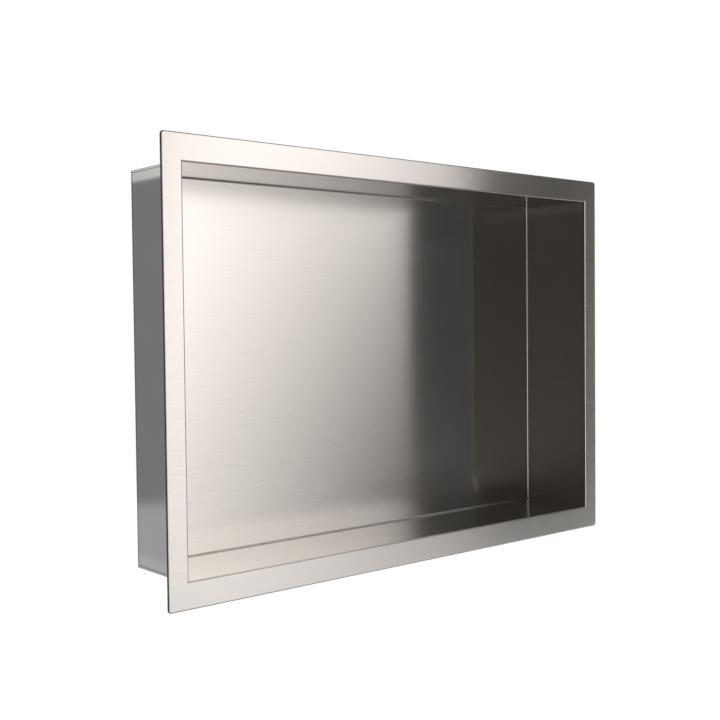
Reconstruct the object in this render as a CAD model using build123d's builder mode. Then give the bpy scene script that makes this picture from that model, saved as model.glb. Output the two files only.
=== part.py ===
"""Shower niche insert: an open-fronted recess with a flange, folded from stainless sheet and welded.

Millimetres. X runs to the right as seen from the room, Y into the wall and Z up.
The origin is the centre of the flange, on the plane of the wall that its back lies against.
"""

import os

from build123d import *

# Flange, as seen from the room
flange_width = 508.0
flange_height = 356.0
flange_side = 18.0  # strip on each side of the opening
flange_rail = 21.5  # strip above and below the opening
flange_corner = 3.0  # radius of the flange's outer corners

# Sheet, its edges and bends, and the recess
sheet = 1.5
edge_radius = 1.2  # front edge of the flange, ground round
bend_radius = 1.5  # inside radius of the bends round the back panel
recess_depth = 76.5  # face of the flange to the face of the back panel

# The opening is what the flange leaves free, and the box round it is one sheet thickness larger
opening_width = flange_width - 2 * flange_side
opening_height = flange_height - 2 * flange_rail
box_width = opening_width + 2 * sheet
box_height = opening_height + 2 * sheet
box_depth = recess_depth  # back of the flange to the back of the panel
bend_outside = bend_radius + sheet
fold_outside = sheet  # the fold at the opening is tight, so it is sharp behind the flange

# Planes face the room, so a sketch on one is extruded towards the room
wall_plane = Plane.XZ
flange_plane = wall_plane.offset(sheet)
box_rear_plane = wall_plane.offset(-box_depth)

with BuildPart() as niche_shell:
    # The flange, flat against the wall, with its front edge rounded
    with BuildSketch(wall_plane):
        RectangleRounded(flange_width, flange_height, flange_corner)
    extrude(amount=sheet)
    fillet(niche_shell.faces().sort_by(Axis.Y)[0].edges(), radius=edge_radius)

    # The outside of the box, bent round the back panel and mitred where the bends meet
    with BuildSketch(box_rear_plane):
        Rectangle(box_width, box_height)
    extrude(amount=box_depth)
    fillet(niche_shell.faces().sort_by(Axis.Y)[-1].edges(), radius=bend_outside)

    # The recess, with its walls meeting in sharp welded corners
    with BuildSketch(flange_plane):
        Rectangle(opening_width, opening_height)
    extrude(amount=-recess_depth, mode=Mode.SUBTRACT)

    # The inside of the bends round the back panel, one sheet thickness from the outside
    panel_face = niche_shell.faces().filter_by(Plane.XZ).sort_by(Axis.Y)[-2]
    fillet(panel_face.edges(), radius=bend_radius)

    # The fold from the flange into the recess, mitred at the corners of the opening
    flange_face = niche_shell.faces().sort_by(Axis.Y)[0]
    fillet(flange_face.inner_wires()[0].edges(), radius=fold_outside)

niche_shell.part.label = "niche_shell"

os.makedirs("parts", exist_ok=True)
export_step(niche_shell.part, "parts/niche_shell.step")
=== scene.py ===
import math

import bmesh
import bpy
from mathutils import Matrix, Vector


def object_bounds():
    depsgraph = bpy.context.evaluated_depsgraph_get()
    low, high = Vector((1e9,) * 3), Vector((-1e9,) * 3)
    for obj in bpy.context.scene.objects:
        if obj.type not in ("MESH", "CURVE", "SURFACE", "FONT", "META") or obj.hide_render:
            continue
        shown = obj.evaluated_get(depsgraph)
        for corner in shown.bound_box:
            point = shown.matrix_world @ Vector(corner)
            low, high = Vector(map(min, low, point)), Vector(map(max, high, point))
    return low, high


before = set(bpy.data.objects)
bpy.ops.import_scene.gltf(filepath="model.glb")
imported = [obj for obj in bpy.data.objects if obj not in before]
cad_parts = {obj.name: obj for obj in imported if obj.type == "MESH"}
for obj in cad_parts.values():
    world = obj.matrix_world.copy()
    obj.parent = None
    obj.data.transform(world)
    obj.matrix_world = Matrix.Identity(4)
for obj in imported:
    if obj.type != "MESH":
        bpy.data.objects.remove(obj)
cad_box = [list(corner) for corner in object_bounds()]

# Niche shell: the recess, its walls, the back panel and the flange.
# One stainless sheet, brushed along its length on the side that faces the room and left as it
# came from the mill on the side in the wall, folded up, welded at the corners and ground.
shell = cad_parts["niche_shell"]

# Sizes of the shell, from its box and the strips of the flange round the opening
near, far = cad_box
side_strip = 0.018
rail = 0.0215
sheet = -near[1]  # the back of the flange lies at y = 0
flange_side = far[0]
flange_level = far[2]
rear = far[1]
panel_face = rear - sheet
wall_side = flange_side - side_strip
wall_level = flange_level - rail
box_side = wall_side + sheet
box_level = wall_level + sheet
skin = sheet / 3  # how far outside a brushed face the mill side begins


def new_material(name):
    material = bpy.data.materials.new(name)
    material.use_nodes = True
    material.node_tree.nodes.clear()
    return material


def add(kind, label, **settings):
    node = tree.nodes.new(kind)
    node.label = label
    for key, value in settings.items():
        setattr(node, key, value)
    return node


def feed(socket, value):
    if isinstance(value, bpy.types.NodeSocket):
        tree.links.new(value, socket)
    else:
        socket.default_value = value


def axes(label, vector):
    node = add("ShaderNodeSeparateXYZ", label)
    feed(node.inputs[0], vector)
    return node.outputs


def sums(label, operation, *values):
    node = add("ShaderNodeMath", label, operation=operation)
    for socket, value in zip(node.inputs, values):
        feed(socket, value)
    return node.outputs[0]


steel = new_material("brushed_stainless")
tree = steel.node_tree
place = add("ShaderNodeTexCoord", "place on the shell").outputs["Object"]
x, y, z = axes("place by axis", place)
facing = add("ShaderNodeNewGeometry", "facing").outputs["Normal"]
facing_x, facing_y, facing_z = axes("facing by axis", facing)
side = sums("distance from the middle", "ABSOLUTE", x)
level = sums("distance from mid height", "ABSOLUTE", z)
side_face = sums("turned sideways", "ABSOLUTE", facing_x)
upright_face = sums("facing the room", "ABSOLUTE", facing_y)
level_face = sums("facing up or down", "ABSOLUTE", facing_z)

# The side in the wall: past the skin of any face of the recess, and behind the flange's front
flange_slack = 0.0002
past_side = sums("past the side wall", "SUBTRACT", side, wall_side + skin)
past_level = sums("past the upper or lower wall", "SUBTRACT", level, wall_level + skin)
past_panel = sums("past the back panel", "SUBTRACT", y, panel_face + skin)
past_walls = sums("past the walls", "MAXIMUM", past_side, past_level)
past_any = sums("past any face", "MAXIMUM", past_walls, past_panel)
outer = sums("outside the recess", "GREATER_THAN", past_any, 0.0)
behind = sums("behind the flange", "GREATER_THAN", y, -flange_slack)
in_wall = sums("side in the wall", "MULTIPLY", outer, behind)


def ramp(label, value, low, high, to_low=0.0, to_high=1.0, shape="SMOOTHSTEP"):
    node = add("ShaderNodeMapRange", label, interpolation_type=shape)
    for socket, number in zip(node.inputs, (value, low, high, to_low, to_high)):
        feed(socket, number)
    return node.outputs[0]


def fade(label, value, low, high):
    return ramp(label, value, low, high, to_low=1.0, to_high=0.0)


# Which face of the sheet
on_flange = sums("on the flange", "LESS_THAN", y, skin)
on_panel = sums("on the back panel", "GREATER_THAN", y, panel_face - sheet)
side_wall = ramp("on a side wall", side_face, 0.6, 0.8)
level_wall = ramp("on the upper or lower wall", level_face, 0.6, 0.9)


def lines(label, scale, detail):
    stretch = add("ShaderNodeMapping", label + " stretch")
    feed(stretch.inputs["Vector"], place)
    stretch.inputs["Scale"].default_value = scale
    noise = add("ShaderNodeTexNoise", label)
    feed(noise.inputs["Vector"], stretch.outputs[0])
    noise.inputs["Scale"].default_value = 1.0
    noise.inputs["Detail"].default_value = detail
    return noise.outputs["Fac"]


def blend(label, kind, amount, first, second):
    node = add("ShaderNodeMix", label, data_type=kind)
    inlet, outlet = {"FLOAT": (2, 0), "RGBA": (6, 2)}[kind]
    feed(node.inputs[0], amount)
    feed(node.inputs[inlet], first)
    feed(node.inputs[inlet + 1], second)
    return node.outputs[outlet]


# Brushed grain: fine lines along the length, which turn with the sheet on the side walls
lines_along = 80.0
lines_across = 900.0
dark_line = (0.652, 0.640, 0.617, 1)
light_line = (0.718, 0.704, 0.678, 1)
grain_long = lines("grain along the length", (lines_along, lines_across, lines_across), 1.0)
grain_deep = lines("grain along the depth", (lines_across, lines_along, lines_across), 1.0)
grain = blend("grain", "FLOAT", side_wall, grain_long, grain_deep)
shade = blend("grain shade", "RGBA", grain, dark_line, light_line)

# Level folds: painted shade where a fold faces down, and a slight painted highlight where it faces up
fold_painted_shade = (0.40, 0.37, 0.345, 1)
fold_painted_highlight = (0.72, 0.70, 0.675, 1)
folded = sums("between two faces", "MINIMUM", upright_face, level_face)
fold = ramp("along a level fold", folded, 0.12, 0.3)
upward = sums("facing up", "GREATER_THAN", facing_z, 0.0)
fold_painted_light = blend("fold painted light", "RGBA", upward, fold_painted_shade, fold_painted_highlight)
with_fold_light = blend("painted light in the folds", "RGBA", fold, shade, fold_painted_light)

# Upright folds at the opening: painted shade, a dark line between the side wall and the flange that
# hides the fold's reflection
opening_fold_shade = (0.10, 0.10, 0.095, 1)
fold_depth = 0.003
off_wall = ramp("off the side wall", upright_face, 0.08, 0.2)
off_flange = fade("off the flange", upright_face, 0.75, 0.88)
turning = sums("turning into the recess", "MULTIPLY", off_wall, off_flange)
front = sums("front fold", "LESS_THAN", y, fold_depth)
at_front = sums("at the opening", "MULTIPLY", turning, front)
not_level = sums("facing sideways", "LESS_THAN", level_face, 0.2)
sideways = sums("upright fold", "MULTIPLY", at_front, not_level)
with_opening_shade = blend("painted shade at the opening", "RGBA", sideways, with_fold_light, opening_fold_shade)

# Lower strip of the panel: painted shade, darker towards the bend above the floor
strip_shade_steel = (0.40, 0.39, 0.375, 1)
strip_shade_share = 0.22
strip_foot = 0.0045  # heights above the floor of the recess
strip_head = 0.0315
above_floor = sums("above the recess floor", "ADD", z, wall_level)
strip_shade = ramp("near the lower bend", above_floor, strip_foot, strip_head, to_low=strip_shade_share, to_high=0.0)
shaded_strip = sums("lower strip", "MULTIPLY", on_panel, strip_shade)
brushed = blend("painted shade above the lower bend", "RGBA", shaded_strip, with_opening_shade, strip_shade_steel)

# Mill side: a plain rolled finish with faint clouds
clouds_a_metre = 22.0
dark_mill = (0.58, 0.583, 0.597, 1)
light_mill = (0.63, 0.633, 0.648, 1)
cloud = lines("mill cloud", (clouds_a_metre, clouds_a_metre, clouds_a_metre), 2.0)
mill = blend("mill shade", "RGBA", cloud, dark_mill, light_mill)

# Ground welds: a band along each outer corner of the box, dressed with an abrasive
weld_width = 0.014
weld_steel = (0.74, 0.72, 0.70, 1)
to_side = sums("in from the side", "SUBTRACT", side, box_side - weld_width)
to_level = sums("in from the top", "SUBTRACT", level, box_level - weld_width)
to_corner = sums("near the corner", "MINIMUM", to_side, to_level)
corner_band = ramp("ground band", to_corner, 0.0, weld_width * 0.5)
past_flange = sums("behind the flange face", "GREATER_THAN", y, skin)
off_rear = fade("not on the rear panel", upright_face, 0.1, 0.5)
box_only = sums("on the box", "MULTIPLY", past_flange, off_rear)
ground = sums("ground weld", "MULTIPLY", corner_band, box_only)
welded = blend("mill and welds", "RGBA", ground, mill, weld_steel)

# Dark lines on the outer side walls: a dark seam at the joint by each corner, and painted shade along
# the corner itself and the rear bend
seam_and_shade_steel = (0.36, 0.36, 0.365, 1)
joint_inset = 0.0019
joint_core = 0.0003
joint_reach = 0.0006
corner_core = 0.0003
corner_reach = 0.0007
bend_core = 0.0035
bend_reach = 0.0050
from_joint = sums("from the joint", "SUBTRACT", level, box_level - joint_inset)
beside_joint = sums("beside the joint", "ABSOLUTE", from_joint)
joint = fade("joint line", beside_joint, joint_core, joint_reach)
corner_painted_shade = ramp("along the corner", level, box_level - corner_reach, box_level - corner_core)
rear_bend_painted_shade = ramp("along the rear bend", y, rear - bend_reach, rear - bend_core)
seam_and_shade = sums("joint and painted shade along the corner", "MAXIMUM", joint, corner_painted_shade)
seam_and_shade = sums("dark seam", "MAXIMUM", seam_and_shade, rear_bend_painted_shade)
on_side = sums("seam on a side wall", "MULTIPLY", seam_and_shade, side_wall)
backed = blend("mill and seams", "RGBA", on_side, welded, seam_and_shade_steel)
sheet_shade = blend("sheet shade", "RGBA", in_wall, brushed, backed)

# Cut edge of the flange: painted shade on its rear, behind its rounded front
rim = 0.0008
side_edge = -0.0010
level_edge = -0.0014
edge_painted_shade = (0.30, 0.29, 0.285, 1)
rim_side = sums("past the flange side", "SUBTRACT", side, flange_side - rim)
rim_level = sums("past the flange rail", "SUBTRACT", level, flange_level - rim)
past_rim = sums("past the flange face", "MAXIMUM", rim_side, rim_level)
at_rim = sums("at the rim", "GREATER_THAN", past_rim, 0.0)
on_rail = sums("level edge", "GREATER_THAN", rim_level, 0.0)
edge_front = blend("depth of the dark edge", "FLOAT", on_rail, side_edge, level_edge)
edge_rear = sums("rear of the edge", "GREATER_THAN", y, edge_front)
cut = sums("cut edge", "MULTIPLY", at_rim, edge_rear)
colour = blend("steel colour", "RGBA", cut, sheet_shade, edge_painted_shade)

# Roughness of each finish
panel_rough = 0.14
wall_rough = 0.10
flange_rough = 0.22
grain_rough = 0.01
mill_rough = 0.05
weld_rough = 0.14
fold_rough = 0.5
edge_rough = 0.35
recess = blend("panel or upper and lower walls", "FLOAT", level_wall, panel_rough, wall_rough)
room_side = blend("recess or flange", "FLOAT", on_flange, recess, flange_rough)
uneven = ramp("grain roughness", grain, 0.2, 0.8, to_low=-grain_rough, to_high=grain_rough)
room_side = sums("brushed roughness", "ADD", room_side, uneven)
wall_back = blend("mill roughness", "FLOAT", ground, mill_rough, weld_rough)
rough = blend("sheet roughness", "FLOAT", in_wall, room_side, wall_back)
soft_fold = sums("upward fold", "MULTIPLY", fold, upward)
rough = blend("fold roughness", "FLOAT", soft_fold, rough, fold_rough)
rough = blend("roughness", "FLOAT", cut, rough, edge_rough)


def vectors(label, operation, *values):
    node = add("ShaderNodeVectorMath", label, operation=operation)
    for socket, value in zip(node.inputs, values):
        feed(socket, value)
    return node.outputs["Value" if operation == "DOT_PRODUCT" else "Vector"]


# Facing of the surface: the grain's relief, each line's lean, the panel out of true, rolled welds
relief_strength = 0.03
relief_depth = 0.0002
recess_lean = 0.003
flange_lean = 0.010
panel_lean = 0.0196
weld_roll = 0.16
relief = add("ShaderNodeBump", "grain relief")
feed(relief.inputs["Strength"], blend("only where brushed", "FLOAT", in_wall, relief_strength, 0.0))
relief.inputs["Distance"].default_value = relief_depth
feed(relief.inputs["Height"], grain)
line_lean = blend("lean of each line", "FLOAT", on_flange, recess_lean, flange_lean)
line_lean = blend("none on the mill side", "FLOAT", in_wall, line_lean, 0.0)
about_mean = sums("grain about its mean", "SUBTRACT", grain, 0.5)
streak = sums("streak", "MULTIPLY", about_mean, line_lean)
rolled_weld = sums("ground roll", "MULTIPLY", ground, weld_roll)
half = sums("upper or lower half", "SIGN", z)
roll = add("ShaderNodeCombineXYZ", "roll")
feed(roll.inputs["X"], sums("panel out of true", "MULTIPLY_ADD", on_panel, panel_lean, streak))
feed(roll.inputs["Z"], sums("up or down", "MULTIPLY", rolled_weld, half))
rolled = vectors("rolled over", "ADD", relief.outputs[0], roll.outputs[0])
evened = vectors("evened", "NORMALIZE", rolled)

# The brush spreads light across its lines, so the gloss is drawn out upright
length_way = (1.0, 0.0, 0.0)
lift = (0.0, 0.0, 0.02)
across = vectors("across the grain", "CROSS_PRODUCT", facing, length_way)
upright = vectors("upright on the side walls", "ADD", across, lift)


def surface(shader):
    feed(add("ShaderNodeOutputMaterial", "surface").inputs["Surface"], shader.outputs[0])


finish = add("ShaderNodeBsdfPrincipled", "steel")
feed(finish.inputs["Base Color"], colour)
finish.inputs["Metallic"].default_value = 1.0
feed(finish.inputs["Roughness"], rough)
finish.inputs["Anisotropic"].default_value = 1.0
feed(finish.inputs["Normal"], evened)
feed(finish.inputs["Tangent"], upright)
surface(finish)
shell.material_slots[0].material = steel

# Floor of the set: a plain pale sheet below the shell, which hangs above it as in its wall.
# It shows as white, and the metal mirrors its front as lighter than the rest.
floor_width = 2.00
floor_depth = 2.70
floor_place = (0.228, 0.816, -0.40)
floor_turn = 29.4
floor_grey = (0.8, 0.8, 0.8, 1)
floor_white = 0.7
lit_front = -1.18
lit_rear = -0.92
front_share = 1.28
rear_share = 0.2


def flat_panel(name, width, height):
    mesh = bpy.data.meshes.new(name)
    grid = bmesh.new()
    bmesh.ops.create_grid(grid, x_segments=1, y_segments=1, size=0.5)
    bmesh.ops.scale(grid, verts=grid.verts, vec=(width, height, 1.0))
    grid.to_mesh(mesh)
    grid.free()
    item = bpy.data.objects.new(name, mesh)
    bpy.context.scene.collection.objects.link(item)
    return item


floor = flat_panel("floor", floor_width, floor_depth)
floor.location = floor_place
floor.rotation_euler = (0.0, 0.0, math.radians(floor_turn))

pale = new_material("pale_floor")
tree = pale.node_tree
ray = add("ShaderNodeLightPath", "ray").outputs
place = add("ShaderNodeTexCoord", "place on the floor").outputs["Object"]
floor_y = axes("place by axis", place)[1]
lit = ramp("lighter at its front", floor_y, lit_front, lit_rear, to_low=front_share, to_high=rear_share)
mirrored = sums("mirrored", "MULTIPLY", ray["Is Glossy Ray"], lit)
seen = sums("seen or mirrored", "MAXIMUM", ray["Is Camera Ray"], mirrored)
seen = sums("seen in any way", "MAXIMUM", seen, ray["Is Transmission Ray"])
matt = add("ShaderNodeBsdfDiffuse", "matt")
matt.inputs["Color"].default_value = floor_grey
glow = add("ShaderNodeEmission", "white")
feed(glow.inputs["Strength"], sums("share of white", "MULTIPLY", seen, floor_white))
both = add("ShaderNodeAddShader", "floor")
feed(both.inputs[0], matt.outputs[0])
feed(both.inputs[1], glow.outputs[0])
surface(both)
floor.data.materials.append(pale)

# Studio wall: a round grey screen about the set, closed above and below, which only the metal sees.
# Its tones stand for the room: dim by the camera, dark beside the softbox, paler in front and behind.
screen_radius = 2.4
screen_height = 4.0
screen_middle = 0.6
screen_sides = 96
wall_mesh = bpy.data.meshes.new("studio_wall")
screen = bmesh.new()
bmesh.ops.create_cone(
    screen,
    cap_ends=True,
    segments=screen_sides,
    radius1=screen_radius,
    radius2=screen_radius,
    depth=screen_height,
)
bmesh.ops.translate(screen, verts=screen.verts, vec=(0.0, 0.0, screen_middle))
for face in screen.faces:
    is_end = len(face.verts) > 4
    face.material_index = int(is_end)
screen.to_mesh(wall_mesh)
screen.free()
wall = bpy.data.objects.new("studio_wall", wall_mesh)
bpy.context.scene.collection.objects.link(wall)
wall.visible_camera = False
wall.visible_diffuse = False
wall.visible_shadow = False
wall.visible_transmission = False

# Tone by bearing, which counts round from -X through -Y: 0 left, 0.25 front, 0.5 right, 0.75 back
left_grey = (0.60, 0.595, 0.58, 1)
grey = new_material("studio_grey")
tree = grey.node_tree
place = add("ShaderNodeTexCoord", "place on the wall").outputs["Object"]
turn = add("ShaderNodeTexGradient", "bearing", gradient_type="RADIAL")
feed(turn.inputs[0], place)
bearing = turn.outputs["Fac"]
tone = add("ShaderNodeValToRGB", "tone by bearing")
feed(tone.inputs[0], bearing)
stops = tone.color_ramp.elements
for end, position in enumerate((0.0, 1.0)):
    stops[end].position = position
    stops[end].color = left_grey


def stop(position, red, blue_share):
    green_share = 0.4 + 0.6 * blue_share
    point = stops.new(position)
    point.color = (red, red * green_share, red * blue_share, 1)


def zone(start, end, red, blue_share):
    stop(start, red, blue_share)
    stop(end, red, blue_share)


# Front: dim on the left by the camera, a pale strip in the middle, dark beside the softbox
zone(start=0.025, end=0.19, red=0.15, blue_share=0.84)
zone(start=0.205, end=0.262, red=0.8, blue_share=0.96)
zone(start=0.30, end=0.392, red=0.045, blue_share=0.92)
stop(position=0.399, red=0.06, blue_share=0.92)
stop(position=0.407, red=0.09, blue_share=0.92)

# Right and back: grey on the right, palest behind, and grey again towards the left
zone(start=0.420, end=0.60, red=0.36, blue_share=0.92)
zone(start=0.72, end=0.79, red=1.1, blue_share=1.0)
zone(start=0.81, end=0.92, red=0.68, blue_share=1.0)
stop(position=0.96, red=0.60, blue_share=0.97)

# A light patch high on the front right
patch_white = (1.3, 1.24, 1.2, 1)
wall_z = axes("place by axis", place)[2]
high = ramp("high up", wall_z, 0.7, 1.1)
begins = ramp("patch starts", bearing, 0.386, 0.393)
finishes = fade("patch ends", bearing, 0.401, 0.412)
patch = sums("from the front", "MULTIPLY", high, begins)
patch = sums("to the right", "MULTIPLY", patch, finishes)
glow = add("ShaderNodeEmission", "grey")
feed(glow.inputs["Color"], blend("tone and patch", "RGBA", patch, tone.outputs[0], patch_white))

# Strength: more low on the right, and in a band high at the back left
back_left_up = (-0.5, 0.6, 1.0)
lean = vectors("towards the back left and up", "DOT_PRODUCT", place, back_left_up)
low_right = ramp("lighter low on the right", lean, -2.8, 0.3, to_low=1.65, to_high=0.4)
high_left = ramp("lighter high at the back left", lean, 2.45, 2.75, to_low=1.0, to_high=3.3)
top = ramp("dimmer again near the top", lean, 3.1, 3.5, to_low=1.0, to_high=0.45)
band = sums("light band", "MULTIPLY", high_left, top)
feed(glow.inputs["Strength"], sums("lighter in places", "MULTIPLY", low_right, band))
surface(glow)
wall_mesh.materials.append(grey)

# The screen's ends, above and below: a dark plain grey
end_glow = 0.1
dark = new_material("studio_dark")
tree = dark.node_tree
glow = add("ShaderNodeEmission", "dark")
glow.inputs["Strength"].default_value = end_glow
surface(glow)
wall_mesh.materials.append(dark)

# Softbox: a large lamp to the front right, behind white cloth stretched on a frame.
# It is brightest at its upper middle, and weaker to its left end and down to the right.
soft_width = 1.50
soft_height = 3.5
soft_place = (0.896, -1.763, 0.75)
soft_turn = 27.7
warm_white = (1.0, 0.942, 0.92, 1)
down_right = (1.0, -0.52, 0.0)
up_right = (0.5, 1.0, 0.0)
extra = 0.36
softbox = flat_panel("softbox", soft_width, soft_height)
softbox.location = soft_place
softbox.rotation_euler = (math.radians(90), 0.0, math.radians(soft_turn))
softbox.visible_camera = False

cloth = new_material("softbox_cloth")
tree = cloth.node_tree
place = add("ShaderNodeTexCoord", "place on the softbox").outputs["Object"]
soft_x = axes("by axis", place)[0]
slant = vectors("down to the right", "DOT_PRODUCT", place, down_right)
rise = vectors("up and to the right", "DOT_PRODUCT", place, up_right)
fall = ramp("weaker down to the right", slant, 0.26, 1.37, to_low=1.74, to_high=0.18, shape="LINEAR")
left_end = ramp("weaker at its left end", soft_x, -0.79, -0.02, to_low=0.2, to_high=1.0, shape="LINEAR")
upper_left = ramp("weaker at its upper left", slant, -0.30, 0.20, to_low=0.72, to_high=1.0)
main = sums("weaker to its edges", "MULTIPLY", fall, left_end)
main = sums("weaker to its corner", "MULTIPLY", main, upper_left)
upper = ramp("upper part", rise, -0.15, 0.10)
right = ramp("right part", soft_x, 0.15, 0.50)
upper_right = sums("upper right", "MULTIPLY", upper, right)
glow = add("ShaderNodeEmission", "light")
glow.inputs["Color"].default_value = warm_white
feed(glow.inputs["Strength"], sums("all of it", "MULTIPLY_ADD", upper_right, extra, main))
surface(glow)
softbox.data.materials.append(cloth)

# World: the white room round the set.
# It lights the floor evenly and shows as white behind the set.
fill = 0.45
white = (1.0, 1.0, 1.0, 1)
world = bpy.data.worlds.new("studio")
bpy.context.scene.world = world
world.use_nodes = True
tree = world.node_tree
tree.nodes.clear()
ray = add("ShaderNodeLightPath", "ray").outputs
seen = sums("seen or mirrored", "MAXIMUM", ray["Is Camera Ray"], ray["Is Glossy Ray"])
seen = sums("seen in any way", "MAXIMUM", seen, ray["Is Transmission Ray"])
sky = add("ShaderNodeBackground", "white")
sky.inputs["Color"].default_value = white
feed(sky.inputs["Strength"], blend("fill or white", "FLOAT", seen, fill, 1.0))
feed(add("ShaderNodeOutputWorld", "world").inputs["Surface"], sky.outputs[0])

# Camera: a normal lens at the photograph's place, fitted to the corners of the shell.
# It stands to the left of the niche and a little above its middle, turned towards it.
camera_place = (-0.65246, -0.6943, 0.03671)
camera_turn = (87.968, 0.5981, -40.2534)
view = bpy.data.cameras.new("camera")
view.sensor_width = 36.0
view.lens = 53.7256
view.clip_start = 0.02
camera = bpy.data.objects.new("camera", view)
bpy.context.scene.collection.objects.link(camera)
camera.location = camera_place
camera.rotation_euler = [math.radians(angle) for angle in camera_turn]
bpy.context.scene.camera = camera

bpy.context.scene.view_settings.view_transform = "Standard"
